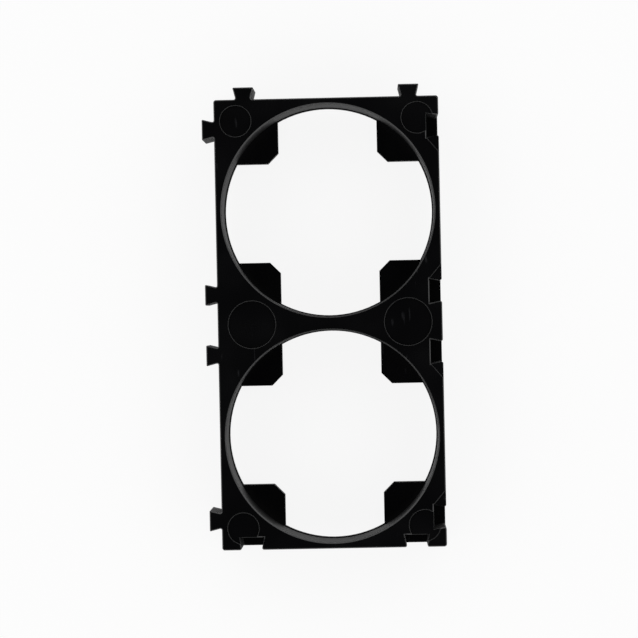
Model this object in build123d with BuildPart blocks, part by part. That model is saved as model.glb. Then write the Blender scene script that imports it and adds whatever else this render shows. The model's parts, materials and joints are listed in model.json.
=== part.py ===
from build123d import *
import os

# A two-cell holder: one black moulded piece that spaces a pair of large round cells.
# Sizes in millimetres. X runs across one cell, Y along the pair, Z from the back to the front,
# where the cells go in. The origin is the middle of the overall footprint, on the back plane.

# Cells, and the grid that they stand on
cell_count = 2
cell_diameter = 32.4  # largest sleeved can of the 32 mm class
cell_play = 0.25  # all round
web = 2.1  # plastic between two bores, where it is thinnest
grid_gap = 0.2  # between the bodies of two joined holders

# Body
thickness = 10.0
corner_radius = 0.4
rim_chamfer = 0.15  # breaks the front face's outer edge
mouth_chamfer = 0.2  # leads a cell in

# Stops that the cells' ends rest on, and the way left between them for a nickel strip
stop_thickness = 2.0
strip_width = 15.6
strip_depth = 1.0  # how far a strip lies below the back pads
stop_chamfer = 1.65
back_lip = 0.17  # step in the bore's wall, level with the stops

# Dovetail tabs on two sides
tab_inset = 4.7  # from the side of a cell's square on the grid to the tab's middle
tab_reach = 1.87
tab_neck = 2.3
tab_end = 3.25
tab_base_radius = 0.25

# Sockets that take the next holder's tabs
socket_floor = 1.3
tab_lift = 0.2  # from that floor up to the end of a seated tab
socket_hold = 0.1  # how far the mouth hooks over each side of a tab's end
socket_side_play = 0.28
socket_end_play = 0.08
socket_lip_radius = 0.3
relief_depth = 0.1  # shallow step in the face beside each side socket
relief_run = 2.3

# Ejector pin marks in the front face
mark_depth = 0.12
corner_mark_radius = 2.45
corner_mark_inset = 3.35
middle_mark_radius = 3.7
middle_mark_inset = 5.3

# From one cell's axis to the next, within a holder and across joined holders: 35
pitch = cell_diameter + 2 * cell_play + web
tab_offset = pitch / 2 - tab_inset  # either side of each cell's axis
cell_radius = cell_diameter / 2 + cell_play
lip_radius = cell_radius - back_lip
body_width = pitch - grid_gap
body_length = cell_count * pitch - grid_gap
side_x = body_width / 2
end_y = body_length / 2
cell_ys = [pitch * (i - (cell_count - 1) / 2) for i in range(cell_count)]
side_ys = [y + s * tab_offset for y in cell_ys for s in (-1, 1)]
end_xs = (-tab_offset, tab_offset)
socket_mouth = tab_end - 2 * socket_hold
socket_inner = tab_end + 2 * socket_side_play
socket_depth = tab_reach + socket_end_play
tab_bottom = socket_floor + tab_lift

# Tabs stand out on -X and +Y only, so the body's own middle lies this far from the origin.
middle_x = tab_reach / 2
middle_y = -tab_reach / 2


def level(z):
    """The plane at height z whose origin is the body's middle."""
    return Plane((middle_x, middle_y, z))


def dovetail(root, reach, end, back):
    """A dovetail `root` wide at x = 0 and `end` wide at x = reach, run back to x = -back."""
    with BuildSketch() as outline:
        with BuildLine():
            Polyline(
                (-back, -root / 2),
                (0, -root / 2),
                (reach, -end / 2),
                (reach, end / 2),
                (0, root / 2),
                (-back, root / 2),
                close=True,
            )
        make_face()
    return outline.sketch


def uprights(part, low, high, sides):
    """The part's upright edges from low to high on the side planes, given as (axis, place)."""
    found = part.edges().filter_by(Axis.Z).filter_by_position(Axis.Z, low, high)
    found = [e for e in found if abs(e.length - (high - low)) < 0.01]
    return [e for e in found if any(abs(axis(e.center()) - at) < 0.01 for axis, at in sides)]


tab = dovetail(tab_neck, tab_reach, tab_end, corner_radius)
socket = dovetail(socket_mouth, -socket_depth, socket_inner, -corner_radius)

# The opening behind each cell: a cross with chamfered inner corners, within the back lip
with BuildSketch() as cross:
    Rectangle(strip_width, 4 * lip_radius)
    Rectangle(4 * lip_radius, strip_width)
    chamfer(cross.vertices().sort_by_distance((0, 0, 0))[:4], stop_chamfer)
    Circle(lip_radius, mode=Mode.INTERSECT)

with BuildPart() as holder:
    # Body with rounded corners
    with BuildSketch(level(0)):
        RectangleRounded(body_width, body_length, corner_radius)
    extrude(amount=thickness)

    # Tabs on the left side and the upper end, flush with the front and short of the back
    with BuildSketch(level(tab_bottom)):
        with Locations(*[Location((-side_x, y, 0), (0, 0, 180)) for y in side_ys]):
            add(tab)
        with Locations(*[Location((x, end_y, 0), (0, 0, 90)) for x in end_xs]):
            add(tab)
    extrude(amount=thickness - tab_bottom)
    left_and_top = [
        (lambda p: p.X, middle_x - side_x),
        (lambda p: p.Y, middle_y + end_y),
    ]
    fillet(uprights(holder, tab_bottom, thickness, left_and_top), tab_base_radius)

    # Sockets on the other two, open to the side and the front, closed by a floor at the back
    with BuildSketch(level(socket_floor)):
        with Locations(*[Location((side_x, y, 0)) for y in side_ys]):
            add(socket)
        with Locations(*[Location((x, -end_y, 0), (0, 0, -90)) for x in end_xs]):
            add(socket)
    extrude(amount=thickness - socket_floor, mode=Mode.SUBTRACT)
    right_and_bottom = [
        (lambda p: p.X, middle_x + side_x),
        (lambda p: p.Y, middle_y - end_y),
    ]
    fillet(uprights(holder, socket_floor, thickness, right_and_bottom), socket_lip_radius)
    chamfer(holder.faces().sort_by(Axis.Z)[-1].outer_wire().edges(), rim_chamfer)

    # Bores down to the seat on the stops, with a lead-in at the mouth
    with BuildSketch(level(stop_thickness)):
        with Locations(*[(0, y) for y in cell_ys]):
            Circle(cell_radius)
    extrude(amount=thickness - stop_thickness, mode=Mode.SUBTRACT)
    mouths = holder.faces().sort_by(Axis.Z)[-1].inner_wires()
    chamfer([e for wire in mouths for e in wire.edges()], mouth_chamfer)

    # Four stops stay at the back of each bore, round the opening
    with BuildSketch(level(0)):
        with Locations(*[(0, y) for y in cell_ys]):
            add(cross.sketch)
    extrude(amount=stop_thickness, mode=Mode.SUBTRACT)

    # Channels across the back for the nickel strips: along the pair, and across each cell
    with BuildSketch(level(0)):
        Rectangle(strip_width, body_length)
        with Locations(*[(0, y) for y in cell_ys]):
            Rectangle(body_width, strip_width)
    extrude(amount=strip_depth, mode=Mode.SUBTRACT)

    # A shallow step from each side socket's inner corner out to the edge, towards the cell
    with BuildSketch(level(thickness)):
        for y in side_ys:
            towards = 1 if y + 0.01 < min(cell_ys, key=lambda c: abs(c - y)) else -1
            corner = y + towards * socket_inner / 2
            with BuildLine():
                Polyline(
                    (side_x - socket_depth, y),
                    (side_x - socket_depth, corner),
                    (side_x, corner + towards * relief_run),
                    (side_x + rim_chamfer, corner + towards * relief_run),
                    (side_x + rim_chamfer, y),
                    close=True,
                )
            make_face()
    extrude(amount=-relief_depth, mode=Mode.SUBTRACT)

    # Ejector pin marks: one in each corner, and one either side of the web between the cells
    marked_x = side_x - corner_mark_inset
    marked_y = end_y - corner_mark_inset
    with BuildSketch(level(thickness)):
        with GridLocations(2 * marked_x, 2 * marked_y, 2, 2):
            Circle(corner_mark_radius)
        with GridLocations(2 * (side_x - middle_mark_inset), 1, 2, 1):
            Circle(middle_mark_radius)
    extrude(amount=-mark_depth, mode=Mode.SUBTRACT)

holder.part.label = "cell_holder"
os.makedirs("parts", exist_ok=True)
export_step(holder.part, "parts/cell_holder.step")
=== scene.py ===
import json
import math

import bmesh
import bpy
from mathutils import Euler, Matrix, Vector


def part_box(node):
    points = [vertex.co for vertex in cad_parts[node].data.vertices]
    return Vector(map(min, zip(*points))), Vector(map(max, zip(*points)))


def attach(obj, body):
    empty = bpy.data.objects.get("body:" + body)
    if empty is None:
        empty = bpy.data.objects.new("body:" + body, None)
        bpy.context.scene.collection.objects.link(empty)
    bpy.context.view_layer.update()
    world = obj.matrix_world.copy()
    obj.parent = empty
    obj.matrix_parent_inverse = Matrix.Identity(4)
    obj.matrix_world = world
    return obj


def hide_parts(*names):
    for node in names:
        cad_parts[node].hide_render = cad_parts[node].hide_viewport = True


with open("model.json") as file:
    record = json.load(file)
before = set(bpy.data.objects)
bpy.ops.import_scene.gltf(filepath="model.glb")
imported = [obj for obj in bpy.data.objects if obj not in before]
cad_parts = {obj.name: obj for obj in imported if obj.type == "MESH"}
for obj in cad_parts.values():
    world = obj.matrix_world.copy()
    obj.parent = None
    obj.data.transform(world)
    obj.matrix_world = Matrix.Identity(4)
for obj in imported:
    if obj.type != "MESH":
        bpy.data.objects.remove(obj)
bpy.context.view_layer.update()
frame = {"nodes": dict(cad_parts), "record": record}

bl_info = {
    "name": "Two-cell battery holder",
    "version": (1, 0, 0),
    "blender": (4, 5, 0),
    "location": "3D View > Sidebar > Holder",
    "description": "Finish and studio for a moulded two-cell battery holder",
    "category": "Object",
}

MM = 0.001
NODE = "cell_holder"
LOW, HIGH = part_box(NODE)
MOUNTS = {m["name"]: m for m in frame["record"]["mounts"]}
CELL_AXES = [Vector(MOUNTS[n]["pos_m"]) for n in ("upper_cell_bore", "lower_cell_bore")]
PAIR_MIDDLE = (CELL_AXES[0] + CELL_AXES[1]) / 2
SAME = 0.002 * MM  # closer than this, two places are one
STEEP = 0.1  # a face is upright if its normal rises by less than this
SHORTEST_UPRIGHT = 1 * MM  # an edge this tall or taller is a tab's corner, not a chamfer's
SHARP = math.radians(20)  # edges that turn by more than this stay sharp
FLAT = math.radians(0.5)  # faces that turn by less than this are one flat face
BEAD_SIDES = 8
FLOOR_REACH = 3.0  # from the middle of the floor to its edge, in metres
SENSOR = 36.0  # the camera's sensor, in millimetres
PATCH_EDGE, PATCH_CORE = 0.6, 0.92  # sine of the height where the ceiling starts to darken and is dark


# ---------------------------------------------------------------- settings


class HolderFinish(bpy.types.PropertyGroup):
    """Colour and moulded finish of the plastic."""

    plastic: bpy.props.StringProperty(
        name="Plastic", description="Colour of the ABS, as an sRGB hex value", default="060607"
    )
    scuff: bpy.props.StringProperty(
        name="Scuffs", description="Colour of handling scuffs, as an sRGB hex value", default="1E1E20"
    )
    roughness: bpy.props.FloatProperty(
        name="Roughness", description="Roughness of the flat faces",
        default=0.2, min=0.0, max=1.0, subtype="FACTOR",
    )
    gloss: bpy.props.FloatProperty(
        name="Gloss", description="Specular level of the flat faces",
        default=0.5, min=0.0, max=1.0, subtype="FACTOR",
    )
    wall_roughness: bpy.props.FloatProperty(
        name="Wall roughness", description="Roughness of the upright walls",
        default=0.62, min=0.0, max=1.0, subtype="FACTOR",
    )
    wall_gloss: bpy.props.FloatProperty(
        name="Wall gloss", description="Specular level of the upright walls",
        default=0.15, min=0.0, max=1.0, subtype="FACTOR",
    )
    grain: bpy.props.FloatProperty(
        name="Grain size", description="Spacing of the fine grain left by a sparked mould",
        default=0.35 * MM, unit="LENGTH",
    )
    flow: bpy.props.FloatProperty(
        name="Flow size", description="Spacing of the slow change of roughness where the melt flowed",
        default=9 * MM, unit="LENGTH",
    )
    scratch: bpy.props.FloatProperty(
        name="Scuff size", description="Width of the scuffs", default=0.8 * MM, unit="LENGTH"
    )
    tab_corner: bpy.props.FloatProperty(
        name="Tab corner", description="Chamfer on the outer corners of each tab",
        default=0.12 * MM, unit="LENGTH",
    )
    bead: bpy.props.FloatProperty(
        name="Witness bead", description="Radius of the fine bead where two parts of the mould met",
        default=0.04 * MM, unit="LENGTH",
    )


class HolderStudio(bpy.types.PropertyGroup):
    """Camera, floor and lights."""

    distance: bpy.props.FloatProperty(
        name="Distance", description="From the camera to the front face",
        default=406 * MM, unit="LENGTH",
    )
    lens: bpy.props.FloatProperty(
        name="Lens", description="Focal length in millimetres", default=148.05
    )
    lean: bpy.props.FloatVectorProperty(
        name="Lean", description="Turn of the camera from straight down, and its roll",
        size=3, default=[math.radians(a) for a in (-0.1, 1.3, -1.163)], subtype="EULER",
    )
    offset: bpy.props.FloatVectorProperty(
        name="Offset", description="How far the pair lies off the picture's middle, right and up",
        size=2, default=(1.71 * MM, -0.64 * MM), unit="LENGTH",
    )
    floor: bpy.props.StringProperty(
        name="Floor", description="Colour of the floor, as an sRGB hex value", default="F8F8F8"
    )
    glow: bpy.props.FloatProperty(
        name="Glow", description="Share of the floor's white that glows, and takes no shadow",
        default=0.88, min=0.0, max=1.0, subtype="FACTOR",
    )
    walls: bpy.props.FloatProperty(
        name="Walls", description="Strength of the soft light from the studio's pale walls",
        default=1.5, min=0.0,
    )
    ceiling: bpy.props.FloatProperty(
        name="Ceiling", description="Strength of the light from its dark ceiling",
        default=0.005, min=0.0,
    )


# ---------------------------------------------------------------- helpers


def linear(hex_colour):
    """An sRGB hex value as linear RGBA."""
    parts = [int(hex_colour[i : i + 2], 16) / 255 for i in (0, 2, 4)]
    return (*(c / 12.92 if c <= 0.04045 else ((c + 0.055) / 1.055) ** 2.4 for c in parts), 1.0)


def add(tree, kind, inputs=None, **settings):
    """One node: settings are its properties, inputs its sockets' values or the sockets that feed them."""
    node = tree.nodes.new(kind)
    for key, value in settings.items():
        setattr(node, key, value)
    for key, value in (inputs or {}).items():
        if isinstance(value, bpy.types.NodeSocket):
            tree.links.new(value, node.inputs[key])
        else:
            node.inputs[key].default_value = value
    return node


def new_material(name):
    material = bpy.data.materials.new(name)
    material.use_nodes = True
    material.node_tree.nodes.clear()
    return material, material.node_tree


# ---------------------------------------------------------------- materials


def moulded_abs(name, finish, roughness, gloss):
    """Black ABS, injection-moulded in a sparked steel mould: deep black with a fine satin grain,
    a slow change of roughness where the melt flowed, and short pale scuffs from handling."""
    material, tree = new_material(name)
    place = add(tree, "ShaderNodeTexCoord").outputs["Object"]
    grain = add(
        tree, "ShaderNodeTexNoise",
        {"Vector": place, "Scale": 1 / finish.grain, "Detail": 3.0, "Roughness": 0.6},
    )
    flow = add(
        tree, "ShaderNodeTexNoise",
        {"Vector": place, "Scale": 1 / finish.flow, "Detail": 2.0, "Roughness": 0.5},
    )
    rough = add(
        tree, "ShaderNodeMapRange",
        {
            "Value": flow.outputs["Fac"],
            "From Min": 0.3, "From Max": 0.7,
            "To Min": roughness - 0.05, "To Max": roughness + 0.05,
        },
    )
    scratch_place = add(
        tree, "ShaderNodeMapping",
        {"Vector": place, "Rotation": (0, 0, math.radians(38)), "Scale": (1, 0.22, 1)},
    )
    scratches = add(
        tree, "ShaderNodeTexNoise",
        {"Vector": scratch_place.outputs["Vector"], "Scale": 1 / finish.scratch, "Detail": 1.0},
    )
    scuff = add(
        tree, "ShaderNodeMapRange",
        {"Value": scratches.outputs["Fac"], "From Min": 0.72, "From Max": 0.8},
    )
    colour = add(
        tree, "ShaderNodeMix",
        {0: scuff.outputs["Result"], 6: linear(finish.plastic), 7: linear(finish.scuff)},
        data_type="RGBA",
    )
    bump = add(
        tree, "ShaderNodeBump",
        {"Height": grain.outputs["Fac"], "Strength": 0.15, "Distance": 0.02 * MM},
    )
    shader = add(
        tree, "ShaderNodeBsdfPrincipled",
        {
            "Base Color": colour.outputs[2],
            "Roughness": rough.outputs["Result"],
            "Normal": bump.outputs["Normal"],
            "IOR": 1.54,
            "Specular IOR Level": gloss,
        },
    )
    add(tree, "ShaderNodeOutputMaterial", {"Surface": shader.outputs["BSDF"]})
    return material


def face_plastic(finish):
    """Faces that lay flat against the mould and parted from it cleanly."""
    made = bpy.data.materials.get("face_black_abs")
    return made or moulded_abs("face_black_abs", finish, finish.roughness, finish.gloss)


def wall_plastic(finish):
    """Upright walls, dulled as they slid along the steel when the part was pushed out."""
    return moulded_abs("wall_black_abs", finish, finish.wall_roughness, finish.wall_gloss)


def paper_floor(studio):
    """White sheet that glows to the camera and in reflections. The rest of its white
    comes from the room's light, so it keeps a faint shadow."""
    material, tree = new_material("white_sheet")
    paper = add(
        tree, "ShaderNodeBsdfPrincipled",
        {"Base Color": linear(studio.floor), "Roughness": 0.9, "Specular IOR Level": 0.2},
    )
    glow = add(tree, "ShaderNodeEmission", {"Color": (1, 1, 1, 1), "Strength": 1.0})
    path = add(tree, "ShaderNodeLightPath")
    seen = add(
        tree, "ShaderNodeMath",
        {0: path.outputs["Is Camera Ray"], 1: path.outputs["Is Glossy Ray"]}, operation="MAXIMUM",
    )
    seen = add(
        tree, "ShaderNodeMath",
        {0: seen.outputs[0], 1: path.outputs["Is Transmission Ray"]}, operation="MAXIMUM",
    )
    share = add(tree, "ShaderNodeMath", {0: seen.outputs[0], 1: studio.glow}, operation="MULTIPLY")
    mix = add(
        tree, "ShaderNodeMixShader",
        {0: share.outputs[0], 1: paper.outputs["BSDF"], 2: glow.outputs["Emission"]},
    )
    add(tree, "ShaderNodeOutputMaterial", {"Surface": mix.outputs["Shader"]})
    return material


def studio_room(studio):
    """A pale room with a dark patch of ceiling overhead, so flat black faces mirror no light."""
    world = bpy.data.worlds.new("studio_room")
    world.use_nodes = True
    tree = world.node_tree
    tree.nodes.clear()
    place = add(tree, "ShaderNodeTexCoord").outputs["Generated"]
    height = add(tree, "ShaderNodeSeparateXYZ", {"Vector": place}).outputs["Z"]
    strength = add(
        tree, "ShaderNodeMapRange",
        {
            "Value": height,
            "From Min": PATCH_EDGE, "From Max": PATCH_CORE,
            "To Min": studio.walls, "To Max": studio.ceiling,
        },
        interpolation_type="SMOOTHSTEP",
    )
    light = add(
        tree, "ShaderNodeBackground",
        {"Color": (1, 1, 1, 1), "Strength": strength.outputs["Result"]},
    )
    add(tree, "ShaderNodeOutputWorld", {"Surface": light.outputs["Background"]})
    return world


# ---------------------------------------------------------------- meshes


def merged_holder():
    """The moulding's surface with its loose triangles joined, and flat faces made whole."""
    surface = bmesh.new()
    surface.from_mesh(frame["nodes"][NODE].data)
    bmesh.ops.remove_doubles(surface, verts=surface.verts, dist=SAME / 4)
    bmesh.ops.dissolve_limit(
        surface, angle_limit=FLAT, verts=surface.verts, edges=surface.edges
    )
    return surface


def is_tab_corner(edge):
    """An upright edge at the very end of a tab on the left side or the upper end."""
    a, b = (v.co for v in edge.verts)
    upright = abs(a.x - b.x) < SAME and abs(a.y - b.y) < SAME and abs(a.z - b.z) > SHORTEST_UPRIGHT
    at_end = abs(a.x - LOW.x) < SAME or abs(a.y - HIGH.y) < SAME
    return upright and at_end


def is_step_edge(edge):
    """An edge of the front face where it drops straight down: at a pin mark, a socket or a step."""
    if any(abs(v.co.z - HIGH.z) > SAME for v in edge.verts) or len(edge.link_faces) != 2:
        return False
    tilts = sorted(abs(face.normal.z) for face in edge.link_faces)
    return tilts[0] < STEEP and tilts[1] > 1 - STEEP


def step_lines(surface):
    """The front face's step edges, as a mesh of edges alone."""
    edges = [e for e in surface.edges if is_step_edge(e)]
    verts = sorted({v for e in edges for v in e.verts}, key=lambda v: v.index)
    number = {v: i for i, v in enumerate(verts)}
    mesh = bpy.data.meshes.new("step_lines")
    mesh.from_pydata([v.co for v in verts], [[number[v] for v in e.verts] for e in edges], [])
    return mesh


def bead_tree(material):
    """Geometry Nodes that sweep a round bead along every line of a mesh."""
    tree = bpy.data.node_groups.new("witness_bead", "GeometryNodeTree")
    sockets = tree.interface
    sockets.new_socket("Geometry", in_out="INPUT", socket_type="NodeSocketGeometry")
    radius = sockets.new_socket("Radius", in_out="INPUT", socket_type="NodeSocketFloat")
    sides = sockets.new_socket("Sides", in_out="INPUT", socket_type="NodeSocketInt")
    sockets.new_socket("Geometry", in_out="OUTPUT", socket_type="NodeSocketGeometry")
    given = add(tree, "NodeGroupInput")
    line = add(tree, "GeometryNodeMeshToCurve", {"Mesh": given.outputs["Geometry"]})
    profile = add(
        tree, "GeometryNodeCurvePrimitiveCircle",
        {"Resolution": given.outputs["Sides"], "Radius": given.outputs["Radius"]},
    )
    bead = add(
        tree, "GeometryNodeCurveToMesh",
        {
            "Curve": line.outputs["Curve"],
            "Profile Curve": profile.outputs["Curve"],
            "Fill Caps": True,
        },
    )
    real = add(tree, "GeometryNodeRealizeInstances", {"Geometry": bead.outputs["Mesh"]})
    finished = add(
        tree, "GeometryNodeSetMaterial",
        {"Geometry": real.outputs["Geometry"], "Material": material},
    )
    add(tree, "NodeGroupOutput", {"Geometry": finished.outputs["Geometry"]})
    return tree, radius.identifier, sides.identifier


def new_object(name, data):
    piece = bpy.data.objects.new(name, data)
    bpy.context.scene.collection.objects.link(piece)
    return piece


# ---------------------------------------------------------------- operators


class HOLDER_OT_moulding(bpy.types.Operator):
    """Finish the moulded holder: chamfer its tabs' corners, and give it its plastic"""

    bl_idname = "holder.moulding"
    bl_label = "Moulded holder"

    def execute(self, context):
        finish = context.scene.holder_finish
        surface = merged_holder()
        corners = [e for e in surface.edges if is_tab_corner(e)]
        if not corners:
            raise RuntimeError("the holder has no tab corners to chamfer")
        bmesh.ops.bevel(
            surface, geom=corners, offset=finish.tab_corner, offset_type="OFFSET",
            segments=1, affect="EDGES", clamp_overlap=True,
        )
        bmesh.ops.triangulate(surface, faces=surface.faces)
        mesh = bpy.data.meshes.new("moulding")
        surface.to_mesh(mesh)
        surface.free()
        mesh.materials.append(face_plastic(finish))
        mesh.materials.append(wall_plastic(finish))
        for polygon in mesh.polygons:
            polygon.material_index = int(abs(polygon.normal.z) < STEEP)
        mesh.shade_smooth()
        old_normals = mesh.attributes.get("custom_normal")
        if old_normals:  # from before the chamfers were cut
            mesh.attributes.remove(old_normals)
        mesh.set_sharp_from_angle(angle=SHARP)
        holder = new_object("moulding", mesh)
        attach(holder, "root")
        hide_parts(NODE)
        return {"FINISHED"}


class HOLDER_OT_witness_lines(bpy.types.Operator):
    """Lay the fine beads left round the ejector pins, the sockets and the mould insert"""

    bl_idname = "holder.witness_lines"
    bl_label = "Witness lines"

    def execute(self, context):
        finish = context.scene.holder_finish
        surface = merged_holder()
        lines = new_object("witness_path", step_lines(surface))
        surface.free()
        tree, radius, sides = bead_tree(face_plastic(finish))
        sweep = lines.modifiers.new("bead", "NODES")
        sweep.node_group = tree
        sweep[radius] = finish.bead
        sweep[sides] = BEAD_SIDES
        view = context.evaluated_depsgraph_get()
        mesh = bpy.data.meshes.new_from_object(lines.evaluated_get(view))
        bpy.data.objects.remove(lines)
        if not mesh.polygons:
            raise RuntimeError("no step edges were found on the front face")
        mesh.name = "witness_beads"
        beads = new_object("witness_beads", mesh)
        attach(beads, "root")
        return {"FINISHED"}


class HOLDER_OT_studio(bpy.types.Operator):
    """Set up the floor, the soft lights and the camera above the holder"""

    bl_idname = "holder.studio"
    bl_label = "Studio"

    def execute(self, context):
        studio = context.scene.holder_studio
        corners = [
            (x * FLOOR_REACH, y * FLOOR_REACH, LOW.z) for x, y in ((-1, -1), (1, -1), (1, 1), (-1, 1))
        ]
        floor_mesh = bpy.data.meshes.new("floor")
        floor_mesh.from_pydata(corners, [], [(0, 1, 2, 3)])
        floor_mesh.materials.append(paper_floor(studio))
        floor = new_object("floor", floor_mesh)

        camera_data = bpy.data.cameras.new("camera")
        camera_data.lens = studio.lens
        camera_data.sensor_width = SENSOR
        camera_data.clip_start = 0.01
        camera = new_object("camera", camera_data)
        turn = Euler(studio.lean, "ZYX").to_matrix()
        back = turn @ Vector((-studio.offset[0], -studio.offset[1], studio.distance))
        camera.location = Vector((PAIR_MIDDLE.x, PAIR_MIDDLE.y, HIGH.z)) + back
        camera.rotation_euler = turn.to_euler()
        context.scene.camera = camera

        context.scene.world = studio_room(studio)
        context.scene.view_settings.view_transform = "Standard"
        return {"FINISHED"}


class HOLDER_PT_panel(bpy.types.Panel):
    bl_label = "Battery holder"
    bl_idname = "HOLDER_PT_panel"
    bl_space_type = "VIEW_3D"
    bl_region_type = "UI"
    bl_category = "Holder"

    def draw(self, context):
        for group in (context.scene.holder_finish, context.scene.holder_studio):
            for key in group.bl_rna.properties.keys():
                if key not in ("rna_type", "name"):
                    self.layout.prop(group, key)
        for operator in OPERATORS:
            self.layout.operator(operator.bl_idname)


OPERATORS = (HOLDER_OT_moulding, HOLDER_OT_witness_lines, HOLDER_OT_studio)
CLASSES = (HolderFinish, HolderStudio, *OPERATORS, HOLDER_PT_panel)


def register():
    for cls in CLASSES:
        bpy.utils.register_class(cls)
    bpy.types.Scene.holder_finish = bpy.props.PointerProperty(type=HolderFinish)
    bpy.types.Scene.holder_studio = bpy.props.PointerProperty(type=HolderStudio)


def unregister():
    del bpy.types.Scene.holder_studio
    del bpy.types.Scene.holder_finish
    for cls in reversed(CLASSES):
        bpy.utils.unregister_class(cls)


def main():
    register()
    for operator in OPERATORS:
        group, name = operator.bl_idname.split(".")
        getattr(getattr(bpy.ops, group), name)()


if __name__ == "__main__":
    main()
